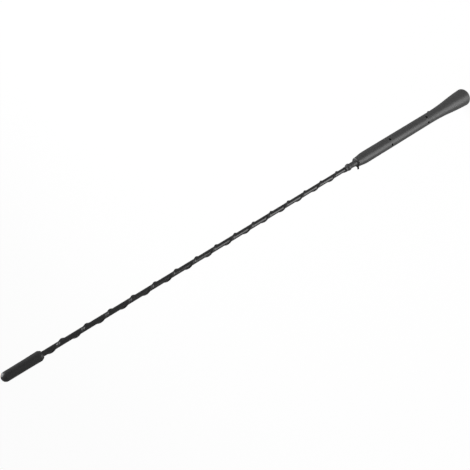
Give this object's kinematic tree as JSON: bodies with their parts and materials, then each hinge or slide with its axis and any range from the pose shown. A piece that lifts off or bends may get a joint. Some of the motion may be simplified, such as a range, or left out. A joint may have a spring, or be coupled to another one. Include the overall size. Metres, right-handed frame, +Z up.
{
  "type": "car mast aerial",
  "caption": "Slender car roof aerial: a flared grey foot with a threaded insert, a steel rod in a black jacket with a spiral rib, and a domed tip cap.",
  "frame": {"origin": "centre of the foot's end face, on the axis of the threaded hole", "axes": "+Z runs up the mast to the tip; +X is the side that the picture shows, with two of the core-pin holes of each ring"},
  "size_m": [0.0178, 0.0178, 0.5301],
  "materials": {
    "foot_grey": "soft moulded elastomer, satin charcoal grey",
    "insert_brass": "turned",
    "rod_steel": "drawn spring steel",
    "jacket_black": "extruded plastic, semi-gloss black",
    "cap_black": "moulded plastic, satin black"
  },
  "bodies": {
    "root": {"foot_moulding": "foot_grey", "threaded_insert": "insert_brass", "mast_rod": "rod_steel", "mast_jacket": "jacket_black", "tip_cap": "cap_black"}
  },
  "joints": []
}
